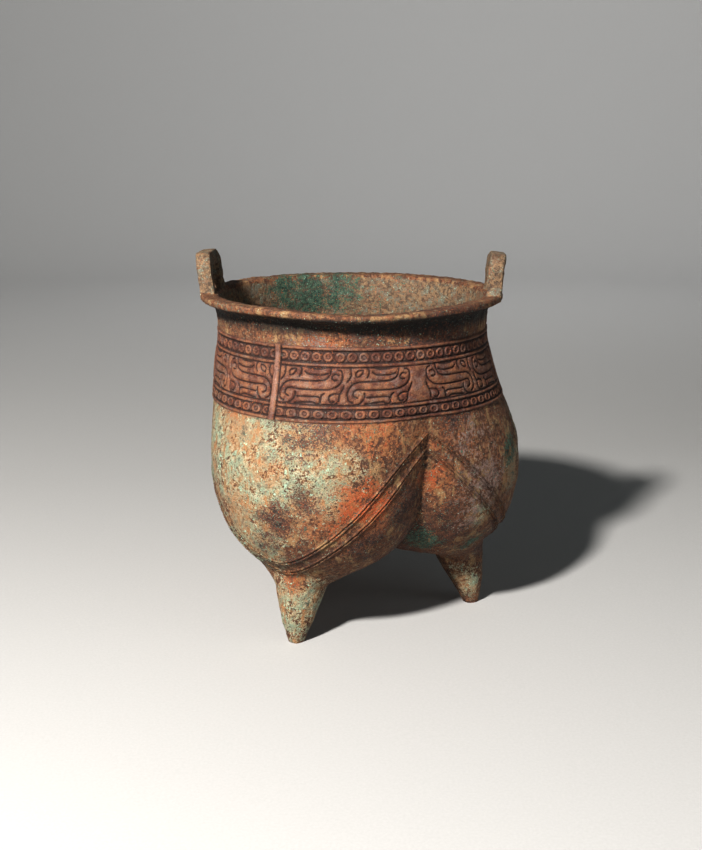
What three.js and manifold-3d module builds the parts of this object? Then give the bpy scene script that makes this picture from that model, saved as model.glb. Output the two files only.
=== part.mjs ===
// Li tripod vessel of cast bronze, in millimetres, +Z up, the ears along X.
// Three hollow lobes flow into one round neck and stand on short solid feet.
import * as THREE from "three";
import { mergeVertices } from "three/addons/utils/BufferGeometryUtils.js";
import Module from "manifold-3d";

// Main sizes
const RIM_HEIGHT = 166; // feet to the top of the rim
const RIM_RADIUS = 75;
const RIM_THICKNESS = 3.4; // height of the lip's outer edge
const RIM_SLOPE = 0.3; // fall of the lip's top face towards the mouth
const WALL = 2.8;
const FOOT_RADIUS = 3.9; // flat tip of each foot
const CAVITY_FLOOR = 31; // height of the lobes' inner floor
const LEAN = 3; // the rim stands this far off the feet, along -X

// Ears on the rim
const EAR_WIDTH = 32;
const EAR_RISE = 19.5;
const EAR_BAR = 7.5;
const EAR_THICKNESS = 7.2;
const EAR_INSET = 7.4; // inner face of the ear, inwards from the rim's edge
const EAR_LEAN = THREE.MathUtils.degToRad(5.5);
const EAR_ROOT = 2.6; // depth of the ear's ends inside the lip
const EAR_CORNER = 8.5;
const EAR_BEND = 0.7; // share of the rim's own curve that the ear follows
const EAR_TURN = THREE.MathUtils.degToRad(-3.6); // from the X axis, about the vessel's own

// Frieze: a row of rings, a register of scrolls and a row of rings, with a thread at each edge
const FRIEZE_TOP = 148.2;
const UPPER_RINGS_HEIGHT = 7.2;
const SCROLLS_HEIGHT = 18.8;
const LOWER_RINGS_HEIGHT = 6;
const UPPER_RINGS_PER_THIRD = 26;
const LOWER_RINGS_PER_THIRD = 24;
const THREAD_WIDTH = 1.5;
const THREAD_RISE = 0.8;
const RING_RADIUS = 1.9; // to the crest of a ring
const RING_RISE = 0.9;
const RING_SIDES = 5;
const SCROLL_SPAN = THREE.MathUtils.degToRad(26);
const SCROLL_GAP = 1.2; // clear strip between a scroll and the threads
const SCROLL_RISE = 0.8;
// Mirror line of the scrolls, from the crotches at 60, 180 and 300 degrees
const SCROLL_OFFSETS = [-4, 4, -4].map(THREE.MathUtils.degToRad);
const MIRROR_GAP = THREE.MathUtils.degToRad(3);

// Double ridge on each lobe: its height at the crotches and at the lobe's outermost line
const UPPER_RIDGE_CROTCH = 107;
const UPPER_RIDGE_FRONT = 45;
const LOWER_RIDGE_CROTCH = 99;
const LOWER_RIDGE_FRONT = 38.5;
const RIDGES = [
  { crotch: UPPER_RIDGE_CROTCH, front: UPPER_RIDGE_FRONT, power: 1.85 },
  { crotch: LOWER_RIDGE_CROTCH, front: LOWER_RIDGE_FRONT, power: 1.9 },
];
const RIDGE_WIDTH = 3;
const RIDGE_RISE = 1.2;
const RELIEF_SINK = 1.1; // depth of every raised line inside the wall

// Mesh density
const ARC_STEPS = 6; // from a lobe's outermost line to the crotch
const INNER_ARC_STEPS = 4;
const UNDER_STEPS = 2; // from the crotch to a lobe's innermost line
const RIDGE_STEPS = 8;
const RIDGE_OVERRUN = 0.03; // radians past the crotch, so that two lobes' ridges join
const ROW_CLEARANCE = 1; // least height between a plain row and the crotch's foot
// Heights of the plain rows, from the top down: outer ones as shares of the rim's height, inner
// ones as shares of the way from the cavity's floor to the neck
const OUTER_ROWS_ABOVE = [0.64, 0.58, 0.51, 0.44, 0.39, 0.35, 0.31, 0.285];
const OUTER_ROWS_BELOW = [0.225, 0.205, 0.185, 0.165, 0.1, 0.04, 0.012, 0];
const INNER_ROWS_ABOVE = [1, 0.78, 0.62, 0.45, 0.32, 0.22, 0.16];
const INNER_ROWS_BELOW = [0.1, 0.06, 0.025, 0];

const THIRD = (2 * Math.PI) / 3;
const SIXTH = Math.PI / 3;

const SCROLLS_TOP = FRIEZE_TOP - UPPER_RINGS_HEIGHT;
const SCROLLS_BOTTOM = SCROLLS_TOP - SCROLLS_HEIGHT;
const FRIEZE_BOTTOM = SCROLLS_BOTTOM - LOWER_RINGS_HEIGHT;

// Edges of a lobe cut through its middle: [share of the height, outer and inner edge as shares
// of the rim's radius], from the foot's tip to the neck.
const LOBE_EDGES = [
  [0.0, 0.853, 0.757],
  [0.012, 0.862, 0.738],
  [0.036, 0.875, 0.711],
  [0.072, 0.885, 0.664],
  [0.108, 0.888, 0.619],
  [0.145, 0.889, 0.573],
  [0.163, 0.889, 0.553],
  [0.178, 0.889, 0.51],
  [0.196, 0.889, 0.38],
  [0.214, 0.892, 0.225],
  [0.232, 0.912, 0.09],
  [0.256, 0.958, -0.01],
  [0.286, 1.012, -0.085],
  [0.316, 1.05, -0.145],
  [0.349, 1.08, -0.205],
  [0.398, 1.107, -0.275],
  [0.458, 1.127, -0.335],
  [0.542, 1.12, -0.41],
  [0.633, 1.061, -0.57],
  [0.723, 0.98, -0.781],
  [0.813, 0.923, -0.885],
  [0.88, 0.893, -0.893],
  [0.922, 0.896, -0.896],
];
// The flare from the neck to the lip's outer edge, in the same shares
const FLARE = [
  [0.952, 0.905],
  [0.968, 0.93],
];

// Smooth curve through [x, y] points that never overshoots them
function monotoneCurve(points) {
  const slope = points.slice(1).map(([x, y], i) => (y - points[i][1]) / (x - points[i][0]));
  const tangent = points.map((_, i) => {
    if (i === 0) return slope[0];
    if (i === points.length - 1) return slope[i - 1];
    if (slope[i - 1] * slope[i] <= 0) return 0;
    return (2 * slope[i - 1] * slope[i]) / (slope[i - 1] + slope[i]);
  });
  return (x) => {
    let i = points.findIndex(([px]) => px > x) - 1;
    if (i === -2) i = points.length - 2;
    if (i === -1) i = 0;
    const [x0, y0] = points[i];
    const [x1, y1] = points[i + 1];
    const span = x1 - x0;
    const t = Math.min(Math.max((x - x0) / span, 0), 1);
    const s = 1 - t;
    return (
      y0 * (1 + 2 * t) * s * s +
      tangent[i] * span * t * s * s +
      y1 * t * t * (3 - 2 * t) -
      tangent[i + 1] * span * t * t * s
    );
  };
}

// Outside of the lobes: both edges over the height, and the tip's own radius at the foot
const outerEdges = LOBE_EDGES.map(([h, out, inn]) => {
  const middle = ((out + inn) / 2) * RIM_RADIUS;
  const radius = h === 0 ? FOOT_RADIUS : ((out - inn) / 2) * RIM_RADIUS;
  return { z: h * RIM_HEIGHT, out: middle + radius, inn: middle - radius };
});

// A skin holds the circle of one lobe at each height: its centre's distance and its radius
function skinOf(edges) {
  const out = monotoneCurve(edges.map((e) => [e.z, e.out]));
  const inn = monotoneCurve(edges.map((e) => [e.z, e.inn]));
  const centre = (z) => Math.max((out(z) + inn(z)) / 2, 0);
  return { out, inn, centre, radius: (z) => out(z) - centre(z) };
}
const outerSkin = skinOf(outerEdges);

// The inner skin lies a wall's thickness inside both edges, measured square to them
function offsetEdge(curve, sign) {
  const points = [];
  const step = 0.5;
  const top = outerEdges[outerEdges.length - 1].z;
  for (let z = 0; z <= top; z += step) {
    const slope = (curve(z + step / 2) - curve(z - step / 2)) / step;
    const length = Math.hypot(1, slope);
    const point = [z - (sign * -slope * WALL) / length, curve(z) - (sign * WALL) / length];
    if (!points.length || point[0] > points[points.length - 1][0]) points.push(point);
  }
  return monotoneCurve(points);
}
const innerOut = offsetEdge(outerSkin.out, 1);
const innerInn = offsetEdge(outerSkin.inn, -1);
const innerSkin = skinOf(
  [0, 0.05, 0.1, 0.16, 0.22, 0.32, 0.45, 0.6, 0.75, 0.87, 1].map((t) => {
    const neck = outerEdges[outerEdges.length - 1].z;
    const z = CAVITY_FLOOR + t * (neck - CAVITY_FLOOR);
    return { z, out: innerOut(z), inn: innerInn(z) };
  }),
);

// Angle about the lobe's centre at which its circle meets the plane between two lobes
function crotchAngle(skin, z, rise = 0) {
  const share = (skin.centre(z) * Math.sin(SIXTH)) / (skin.radius(z) + rise);
  return SIXTH + Math.asin(Math.min(share, 1));
}

// Height at which centre / radius reaches a share, searched from the top down
function heightOfShare(skin, share, low, high) {
  for (let i = 0; i < 50; i++) {
    const z = (low + high) / 2;
    if (skin.centre(z) / skin.radius(z) > share) low = z;
    else high = z;
  }
  return (low + high) / 2;
}

// Point of a lobe's skin, raised square to its circle, with the lobe turned by its direction
function lobePoint(skin, angle, z, direction, rise = 0) {
  const reach = skin.radius(z) + rise;
  const x = skin.centre(z) + reach * Math.cos(angle);
  const y = reach * Math.sin(angle);
  return [
    x * Math.cos(direction) - y * Math.sin(direction),
    x * Math.sin(direction) + y * Math.cos(direction),
    z,
  ];
}

// Triangle list with the helpers that fill it
class Faces {
  constructor() {
    this.positions = [];
  }
  triangle(a, b, c) {
    this.positions.push(...a, ...b, ...c);
  }
  // Between two rows over the same angles, whatever number of points each has
  strip(lower, upper) {
    let i = 0;
    let j = 0;
    while (i + 1 < lower.length || j + 1 < upper.length) {
      const nextLower = (i + 1) / (lower.length - 1);
      const nextUpper = (j + 1) / (upper.length - 1);
      if (nextLower <= nextUpper) this.triangle(lower[i], lower[++i], upper[j]);
      else this.triangle(lower[i], upper[j + 1], upper[j++]);
    }
  }
  add(other, reversed = false) {
    const p = other.positions;
    for (let i = 0; i < p.length; i += 9) {
      const [a, b, c] = [p.slice(i, i + 3), p.slice(i + 3, i + 6), p.slice(i + 6, i + 9)];
      if (reversed) this.triangle(a, c, b);
      else this.triangle(a, b, c);
    }
  }
}

function arc(from, to, steps) {
  return Array.from({ length: steps + 1 }, (_, i) => from + ((to - from) * i) / steps);
}

// A cell of a ring row: its floor rises from the four corners to a dimpled ring's crest
function ringCell(faces, corners, crest, dimple) {
  const quarter = (k) => Math.floor((k / crest.length) * 4 + 0.5) % 4;
  crest.forEach((point, k) => {
    const next = crest[(k + 1) % crest.length];
    faces.triangle(point, next, dimple);
    faces.triangle(corners[quarter(k)], next, point);
    if (quarter(k) !== quarter(k + 1)) {
      faces.triangle(corners[quarter(k)], corners[quarter(k + 1)], next);
    }
  });
}

// A row of rings between two rows of points
function ringBelt(faces, skin, lower, upper, { height, angle, direction }) {
  const count = lower.length - 1;
  for (let i = 0; i < count; i++) {
    const middle = angle * ((2 * i + 1) / count - 1);
    const point = (k, reach, rise) => {
      const turn = ((k + 0.5) / RING_SIDES) * 2 * Math.PI;
      const across = (reach * Math.cos(turn)) / skin.radius(height);
      return lobePoint(skin, middle + across, height + reach * Math.sin(turn), direction, rise);
    };
    const crest = Array.from({ length: RING_SIDES }, (_, k) => point(k, RING_RADIUS, RING_RISE));
    const corners = [upper[i + 1], upper[i], lower[i], lower[i + 1]];
    ringCell(faces, corners, crest, point(0, 0, 0));
  }
}

// One lobe's skin, facing out: rows above the crotch are open arcs, rows below are whole rings
function lobeSkin(skin, rowsAbove, rowsBelow, direction, steps) {
  const faces = new Faces();
  const lowest = rowsBelow[rowsBelow.length - 1];
  const apex = heightOfShare(skin, 1, lowest, rowsAbove[0].z);
  const saddle = heightOfShare(skin, 1 / Math.sin(SIXTH), lowest, apex);
  const open = (z, end, rise = 0, count = 2 * steps) =>
    arc(-end, end, count).map((angle) => lobePoint(skin, angle, z, direction, rise));
  const levels = rowsAbove.filter(({ z }) => z > apex + ROW_CLEARANCE);
  const rows = levels.map(({ z, rise, points }) =>
    open(z, crotchAngle(skin, z, rise), rise, points),
  );
  const saddleAngle = 2.5 * SIXTH;
  rows.push(open(apex, 2 * SIXTH), open(saddle, saddleAngle));
  for (let i = 0; i + 1 < rows.length; i++) {
    const height = levels[i]?.ringsBelow;
    if (!height) faces.strip(rows[i + 1], rows[i]);
    else {
      const angle = crotchAngle(skin, height);
      ringBelt(faces, skin, rows[i + 1], rows[i], { height, angle, direction });
    }
  }
  // The lobe's inner side, from the vessel's axis down
  const inward = (z) =>
    arc(saddleAngle, 2 * Math.PI - saddleAngle, 2 * UNDER_STEPS).map((angle) =>
      lobePoint(skin, angle, z, direction),
    );
  const under = inward(saddle);
  for (let i = 0; i + 1 < under.length; i++) faces.triangle(under[i], under[i + 1], [0, 0, apex]);
  const rings = [saddle, ...rowsBelow.filter((z) => z < saddle - ROW_CLEARANCE)].map((z) => [
    ...open(z, saddleAngle),
    ...inward(z).slice(1),
  ]);
  for (let i = 0; i + 1 < rings.length; i++) faces.strip(rings[i + 1], rings[i]);
  const last = rings[rings.length - 1];
  const hub = lobePoint(skin, 0, lowest, direction, -skin.radius(lowest));
  for (let i = 0; i + 1 < last.length; i++) faces.triangle(last[i + 1], last[i], hub);
  return { faces, top: rows[0] };
}

// A round ring of the neck over the same angles as a lobe's top row
function neckRow(steps, radius, z, direction) {
  return arc(-SIXTH, SIXTH, 2 * steps).map((a) => [
    radius * Math.cos(a + direction),
    radius * Math.sin(a + direction),
    z,
  ]);
}

// The three rows of a thread of the frieze: its upper edge, its crest and its lower edge
function threadRows(z, pointsAbove, pointsBelow, ringsBelow) {
  return [
    { z: z + THREAD_WIDTH / 2, points: pointsAbove },
    { z, rise: THREAD_RISE },
    { z: z - THREAD_WIDTH / 2, points: pointsBelow, ringsBelow },
  ];
}

function outerRows() {
  const [upper, lower] = [UPPER_RINGS_PER_THIRD, LOWER_RINGS_PER_THIRD];
  return [
    { z: outerEdges[outerEdges.length - 1].z },
    ...threadRows(FRIEZE_TOP, undefined, upper, (FRIEZE_TOP + SCROLLS_TOP) / 2),
    ...threadRows(SCROLLS_TOP, upper),
    ...threadRows(SCROLLS_BOTTOM, undefined, lower, (SCROLLS_BOTTOM + FRIEZE_BOTTOM) / 2),
    ...threadRows(FRIEZE_BOTTOM, lower),
    ...OUTER_ROWS_ABOVE.map((h) => ({ z: h * RIM_HEIGHT })),
  ];
}

function vesselShell() {
  const faces = new Faces();
  const neck = outerEdges[outerEdges.length - 1].z;
  const innerHeight = (share) => CAVITY_FLOOR + share * (neck - CAVITY_FLOOR);
  const outerBelow = OUTER_ROWS_BELOW.map((h) => h * RIM_HEIGHT);
  const innerAbove = INNER_ROWS_ABOVE.map((t) => ({ z: innerHeight(t) }));
  const innerBelow = INNER_ROWS_BELOW.map(innerHeight);
  const underLip = RIM_HEIGHT - RIM_THICKNESS;
  for (const direction of [0, THIRD, -THIRD]) {
    const outer = lobeSkin(outerSkin, outerRows(), outerBelow, direction, ARC_STEPS);
    faces.add(outer.faces);
    const flare = FLARE.map(([h, r]) =>
      neckRow(ARC_STEPS, r * RIM_RADIUS, h * RIM_HEIGHT, direction),
    );
    const lipLow = neckRow(ARC_STEPS, RIM_RADIUS, underLip, direction);
    const lipTop = neckRow(ARC_STEPS, RIM_RADIUS, RIM_HEIGHT, direction);
    const rows = [outer.top, ...flare, lipLow, lipTop];
    for (let i = 0; i + 1 < rows.length; i++) faces.strip(rows[i], rows[i + 1]);
    const inner = lobeSkin(innerSkin, innerAbove, innerBelow, direction, INNER_ARC_STEPS);
    faces.add(inner.faces, true);
    const throatRadius = FLARE[1][1] * RIM_RADIUS - WALL;
    const throat = neckRow(INNER_ARC_STEPS, throatRadius, RIM_HEIGHT - RIM_SLOPE, direction);
    faces.strip(throat, inner.top);
    faces.strip(lipTop, throat);
  }
  return faces;
}

// Where the outer skin meets a direction seen from the vessel's own axis
function axisPoint(azimuth, z, rise) {
  const turns = Math.round(azimuth / THIRD);
  const local = azimuth - turns * THIRD;
  const d = outerSkin.centre(z);
  const r = outerSkin.radius(z);
  const reach = d * Math.cos(local) + Math.sqrt(r * r - (d * Math.sin(local)) ** 2) + rise;
  return [reach * Math.cos(azimuth), reach * Math.sin(azimuth), z];
}

// Raised line along a path, given by a function that places (along, across, rise), with a
// flat top or a sharp one
function raisedLine(count, place, width, rise, sharp = false) {
  const faces = new Faces();
  const top = sharp ? [[0, rise]] : [[0.5, rise], [-0.5, rise]];
  const outline = [[-0.5, -RELIEF_SINK], [0.5, -RELIEF_SINK], ...top];
  const sections = arc(0, 1, count).map((t) =>
    outline.map(([across, lift]) => place(t, across * width, lift)),
  );
  const sides = outline.length;
  for (let i = 0; i < count; i++) {
    const [here, next] = [sections[i], sections[i + 1]];
    for (let k = 0; k < sides; k++) {
      const n = (k + 1) % sides;
      faces.triangle(here[k], here[n], next[n]);
      faces.triangle(here[k], next[n], next[k]);
    }
  }
  const [first, last] = [sections[0], sections[count]];
  for (let k = 1; k + 1 < sides; k++) {
    faces.triangle(first[0], first[k + 1], first[k]);
    faces.triangle(last[0], last[k], last[k + 1]);
  }
  return faces;
}

// Scroll lines of one unit as shares of its span and height: an S with a coil at each end, a
// line that follows it down its outer side, and a blade above
const SCROLL_LINES = [
  {
    width: 2.2,
    points: [
      [0.13, 0.26], [0.22, 0.24], [0.14, 0.06], [0.04, 0.26], [0.18, 0.55],
      [0.86, 0.6], [0.97, 0.78], [0.86, 0.84],
    ],
  },
  { width: 2, points: [[0.3, 0.08], [0.38, 0.36], [0.86, 0.39], [1.03, 0.54]] },
  { width: 2.2, points: [[0.3, 0.76], [0.74, 0.8]] },
];

// A bent line through scroll points, mitred at its corners
function scrollLine({ width, points }, start, turn) {
  const low = SCROLLS_BOTTOM + SCROLL_GAP;
  const high = SCROLLS_TOP - SCROLL_GAP;
  const reach = outerSkin.radius((low + high) / 2);
  const flat = points.map(
    ([u, v]) => new THREE.Vector2(u * SCROLL_SPAN * reach, low + v * (high - low)),
  );
  const normals = flat.map((p, i) => {
    const before = (flat[i - 1] ?? p).clone();
    const after = (flat[i + 1] ?? p).clone();
    const a = p.clone().sub(before).normalize();
    const b = after.sub(p).normalize();
    const along = a.clone().add(b).normalize();
    const side = new THREE.Vector2(-along.y, along.x);
    const edge = b.lengthSq() > 0 ? b : a;
    return side.divideScalar(Math.max(side.dot(new THREE.Vector2(-edge.y, edge.x)), 0.6));
  });
  const place = (t, across, rise) => {
    const i = Math.round(t * (flat.length - 1));
    const p = flat[i].clone().addScaledVector(normals[i], across);
    return axisPoint(start + (turn * p.x) / reach, p.y, rise);
  };
  const line = raisedLine(flat.length - 1, place, width, SCROLL_RISE);
  const faces = new Faces();
  faces.add(line, turn < 0);
  return faces;
}

function scrolls() {
  const pieces = [];
  for (const [i, offset] of SCROLL_OFFSETS.entries()) {
    const mirror = SIXTH + i * THIRD + offset;
    for (const side of [-1, 1]) {
      for (const unit of [1, 2]) {
        const start = mirror + side * (MIRROR_GAP + unit * SCROLL_SPAN);
        for (const line of SCROLL_LINES) pieces.push(scrollLine(line, start, -side));
      }
    }
  }
  return pieces;
}

function ridges() {
  return [0, THIRD, -THIRD].flatMap((direction) =>
    RIDGES.map(({ crotch, front, power }) => {
      const end = crotchAngle(outerSkin, crotch) + RIDGE_OVERRUN;
      const path = (t) => {
        const angle = (2 * t - 1) * end;
        return { angle, z: front + (crotch - front) * Math.abs(angle / end) ** power };
      };
      const place = (t, across, rise) => {
        const here = path(t);
        const [a, b] = [path(t - 0.01), path(t + 0.01)];
        const radius = outerSkin.radius(here.z);
        const tangent = new THREE.Vector2((b.angle - a.angle) * radius, b.z - a.z).normalize();
        const angle = here.angle - (across * tangent.y) / radius;
        return lobePoint(outerSkin, angle, here.z + across * tangent.x, direction, rise);
      };
      return raisedLine(RIDGE_STEPS, place, RIDGE_WIDTH, RIDGE_RISE, true);
    }),
  );
}

// Arch of the ear, centred on the rim, seen along the rim's radius
function earOutline() {
  const half = EAR_WIDTH / 2;
  const inside = half - EAR_BAR;
  const ceiling = EAR_RISE - EAR_BAR;
  const bow = Math.max(EAR_CORNER - EAR_BAR / 2, EAR_BAR / 8);
  const outline = new THREE.Shape();
  outline.moveTo(-half, -EAR_ROOT);
  outline.lineTo(-inside, -EAR_ROOT);
  outline.lineTo(-inside, ceiling - bow);
  outline.quadraticCurveTo(-inside, ceiling, -inside + bow, ceiling);
  outline.lineTo(inside - bow, ceiling);
  outline.quadraticCurveTo(inside, ceiling, inside, ceiling - bow);
  outline.lineTo(inside, -EAR_ROOT);
  outline.lineTo(half, -EAR_ROOT);
  outline.lineTo(half, EAR_RISE - EAR_CORNER);
  outline.quadraticCurveTo(half, EAR_RISE, half - EAR_CORNER, EAR_RISE);
  outline.lineTo(-half + EAR_CORNER, EAR_RISE);
  outline.quadraticCurveTo(-half, EAR_RISE, -half, EAR_RISE - EAR_CORNER);
  return outline;
}

function ear(side) {
  const geometry = new THREE.ExtrudeGeometry(earOutline(), {
    depth: EAR_THICKNESS,
    bevelEnabled: false,
    curveSegments: 5,
  });
  // The outline's x becomes the vessel's Y, its y becomes Z and its depth becomes X
  const [x, y, z] = [new THREE.Vector3(1, 0, 0), new THREE.Vector3(0, 1, 0), new THREE.Vector3(0, 0, 1)];
  geometry.applyMatrix4(new THREE.Matrix4().makeBasis(y, z, x));
  const position = geometry.attributes.position;
  for (let i = 0; i < position.count; i++) {
    const bend = (EAR_BEND * position.getY(i) ** 2) / (2 * RIM_RADIUS);
    position.setX(i, position.getX(i) - bend);
  }
  return geometry
    .rotateY(EAR_LEAN)
    .translate(RIM_RADIUS - EAR_INSET, 0, RIM_HEIGHT)
    .rotateZ(EAR_TURN + (side > 0 ? 0 : Math.PI));
}

// Joining
const wasm = await Module();
wasm.setup();

function solidOf(geometry) {
  const bare = geometry.clone();
  bare.deleteAttribute("normal");
  bare.deleteAttribute("uv");
  const merged = mergeVertices(bare, 1e-4);
  return new wasm.Manifold(
    new wasm.Mesh({
      numProp: 3,
      vertProperties: merged.attributes.position.array,
      triVerts: new Uint32Array(merged.index.array),
    }),
  );
}

function geometryOf(positions) {
  return new THREE.BufferGeometry().setAttribute(
    "position",
    new THREE.Float32BufferAttribute(positions, 3),
  );
}

function meshGeometry(solid) {
  const mesh = solid.getMesh();
  return new THREE.BufferGeometry()
    .setAttribute("position", new THREE.BufferAttribute(mesh.vertProperties, 3))
    .setIndex(new THREE.BufferAttribute(mesh.triVerts, 1));
}

function vesselGeometry() {
  let solid = solidOf(geometryOf(vesselShell().positions));
  for (const side of [1, -1]) solid = solid.add(solidOf(ear(side)));
  for (const piece of [...scrolls(), ...ridges()]) {
    solid = solid.add(solidOf(geometryOf(piece.positions)));
  }
  const lean = new THREE.Matrix4().makeShear(0, 0, 0, 0, -LEAN / RIM_HEIGHT, 0);
  const geometry = meshGeometry(solid).applyMatrix4(lean);
  geometry.computeBoundingBox();
  const box = geometry.boundingBox;
  geometry.translate(-(box.min.x + box.max.x) / 2, -(box.min.y + box.max.y) / 2, -box.min.z);
  return geometry.toNonIndexed();
}

const bronze = new THREE.MeshStandardMaterial({ color: 0x6e5240, roughness: 0.75, metalness: 0.35 });

const vessel = new THREE.Mesh(vesselGeometry(), bronze);
vessel.name = "vessel";
vessel.geometry.computeVertexNormals();

const li = new THREE.Group();
li.add(vessel);

export default li;
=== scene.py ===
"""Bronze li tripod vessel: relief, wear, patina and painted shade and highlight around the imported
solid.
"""

import math

import bpy
import numpy as np
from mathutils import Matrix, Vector, noise


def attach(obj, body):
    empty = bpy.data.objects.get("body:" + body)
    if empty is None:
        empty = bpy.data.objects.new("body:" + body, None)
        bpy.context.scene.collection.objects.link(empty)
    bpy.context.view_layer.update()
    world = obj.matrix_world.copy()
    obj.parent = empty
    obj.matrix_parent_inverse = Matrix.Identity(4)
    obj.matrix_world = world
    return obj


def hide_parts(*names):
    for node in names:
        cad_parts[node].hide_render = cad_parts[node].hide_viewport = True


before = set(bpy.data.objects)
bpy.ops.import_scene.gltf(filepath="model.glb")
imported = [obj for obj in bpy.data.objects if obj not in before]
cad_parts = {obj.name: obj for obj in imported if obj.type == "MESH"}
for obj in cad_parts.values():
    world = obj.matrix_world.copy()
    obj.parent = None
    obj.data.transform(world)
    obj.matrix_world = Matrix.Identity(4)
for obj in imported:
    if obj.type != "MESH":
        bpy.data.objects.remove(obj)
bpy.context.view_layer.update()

MM = 0.001

# The vessel's lengths, in mm, until place() turns them to metres
AXIS_X = -1.48  # its axis at the feet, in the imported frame
LEAN = 3.0  # how far the rim stands off the feet, along -X
RIM_HEIGHT = 166.0
RIM_RADIUS = 75.0
RIM_THICKNESS = 3.4
RIM_SLOPE = 0.3
WALL = 2.8
FOOT_RADIUS = 3.9
CAVITY_FLOOR = 31.0

FRIEZE_TOP, SCROLLS_TOP, SCROLLS_BOTTOM, FRIEZE_BOTTOM = 148.2, 141.0, 122.2, 116.2
THREAD_HALF = 0.62
# Rows of rings: height of each, and how many stand in a third of the way round
RINGS = [((FRIEZE_TOP + SCROLLS_TOP) / 2, 26), ((SCROLLS_BOTTOM + FRIEZE_BOTTOM) / 2, 24)]
RING_RADIUS, RING_HALF, RING_ROW_HALF = 1.65, 0.4, 3.4
UNIT_SPAN = math.radians(26)  # of one scroll unit
UNIT_OFFSETS = [-4.0, 4.0, -4.0]  # degrees from each crotch to the mirror line of its scrolls
MIRROR_GAP = math.radians(3)
SEAM = math.radians(-0.35)  # from the middle of each lobe
SEAM_HALF, SEAM_RISE = 1.9, 1.1
RIBBON_RISE = 0.8
# Ridges of a lobe: height at the crotches and in front, and the power of the curve between them
RIDGES = [(107.0, 45.0, 1.85), (99.0, 38.5, 1.9)]
RIDGE_RISE = 0.95
RIDGE_THREADS_APART, RIDGE_THREAD_WIDTH = 0.8, 0.42  # both from the ridge's middle line

THIRD = 2 * math.pi / 3
SIXTH = math.pi / 3
LOBES = (0.0, THIRD, -THIRD)

# What each point of the mesh tells the material
FIELDS = ("outside", "relief", "frieze", "ridge", "crease_shade")

# Edges of a lobe cut through its middle: share of the height, outer and inner edge as shares
# of the rim's radius
LOBE_EDGES = np.array([
    (0.0, 0.853, 0.757), (0.012, 0.862, 0.738), (0.036, 0.875, 0.711), (0.072, 0.885, 0.664),
    (0.108, 0.888, 0.619), (0.145, 0.889, 0.573), (0.163, 0.889, 0.553), (0.178, 0.889, 0.51),
    (0.196, 0.889, 0.38), (0.214, 0.892, 0.225), (0.232, 0.912, 0.09), (0.256, 0.958, -0.01),
    (0.286, 1.012, -0.085), (0.316, 1.05, -0.145), (0.349, 1.08, -0.205), (0.398, 1.107, -0.275),
    (0.458, 1.127, -0.335), (0.542, 1.12, -0.41), (0.633, 1.061, -0.57), (0.723, 0.98, -0.781),
    (0.813, 0.923, -0.885), (0.88, 0.893, -0.893), (0.922, 0.896, -0.896),
])
NECK = LOBE_EDGES[-1, 0] * RIM_HEIGHT
# From the neck to the lip: height and radius as the same shares
FLARE = [(0.938, 0.9), (0.952, 0.905), (0.96, 0.912), (0.965, 0.921), (0.968, 0.93), (0.974, 0.956)]


def monotone(x, y):
    """A smooth curve through points that never overshoots them."""
    x, y = np.asarray(x, float), np.asarray(y, float)
    slope = np.diff(y) / np.diff(x)
    tangent = np.concatenate([slope[:1], np.zeros(len(x) - 2), slope[-1:]])
    a, b = slope[:-1], slope[1:]
    same = a * b > 0
    tangent[1:-1][same] = 2 * a[same] * b[same] / (a[same] + b[same])

    def curve(at):
        at = np.clip(at, x[0], x[-1])
        i = np.clip(np.searchsorted(x, at, "right") - 1, 0, len(x) - 2)
        span = x[i + 1] - x[i]
        t = (at - x[i]) / span
        s = 1 - t
        return (
            y[i] * (1 + 2 * t) * s * s + tangent[i] * span * t * s * s
            + y[i + 1] * t * t * (3 - 2 * t) - tangent[i + 1] * span * t * t * s
        )

    return curve


class Skin:
    """The circle of one lobe at each height."""

    def __init__(self, z, out, inn):
        self.out, self.inn = monotone(z, out), monotone(z, inn)

    def centre(self, z):
        return np.maximum((self.out(z) + self.inn(z)) / 2, 0)

    def radius(self, z):
        return self.out(z) - self.centre(z)

    def share(self, z):
        return self.centre(z) / self.radius(z)

    def crotch(self, z):
        """Angle about the lobe's centre at which its circle meets the plane between two lobes."""
        return SIXTH + np.arcsin(np.minimum(self.share(z) * math.sin(SIXTH), 1))

    def height_of(self, share, low, high):
        for _ in range(50):
            z = (low + high) / 2
            low, high = (z, high) if self.share(z) > share else (low, z)
        return (low + high) / 2


middle = (LOBE_EDGES[:, 1] + LOBE_EDGES[:, 2]) / 2 * RIM_RADIUS
half = (LOBE_EDGES[:, 1] - LOBE_EDGES[:, 2]) / 2 * RIM_RADIUS
half[0] = FOOT_RADIUS
OUTER = Skin(LOBE_EDGES[:, 0] * RIM_HEIGHT, middle + half, middle - half)


def inner_skin():
    """The outer edges moved inwards by the wall, square to them."""
    step = 0.5
    z = np.arange(4.5, NECK, step)
    sides = []
    for curve, sign in ((OUTER.out, 1), (OUTER.inn, -1)):
        slope = (curve(z + step / 2) - curve(z - step / 2)) / step
        length = np.hypot(1, slope)
        at, value = z + sign * slope * WALL / length, curve(z) - sign * WALL / length
        keep = np.concatenate([[True], at[1:] > np.maximum.accumulate(at)[:-1]])
        sides.append(monotone(at[keep], value[keep]))
    share = np.array([0, 0.05, 0.1, 0.16, 0.22, 0.32, 0.45, 0.6, 0.75, 0.87, 1])
    z = CAVITY_FLOOR + share * (NECK - CAVITY_FLOOR)
    return Skin(z, sides[0](z), sides[1](z))


INNER = inner_skin()


def smooth(low, high, value):
    t = np.clip((value - low) / (high - low), 0, 1)
    return t * t * (3 - 2 * t)


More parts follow.
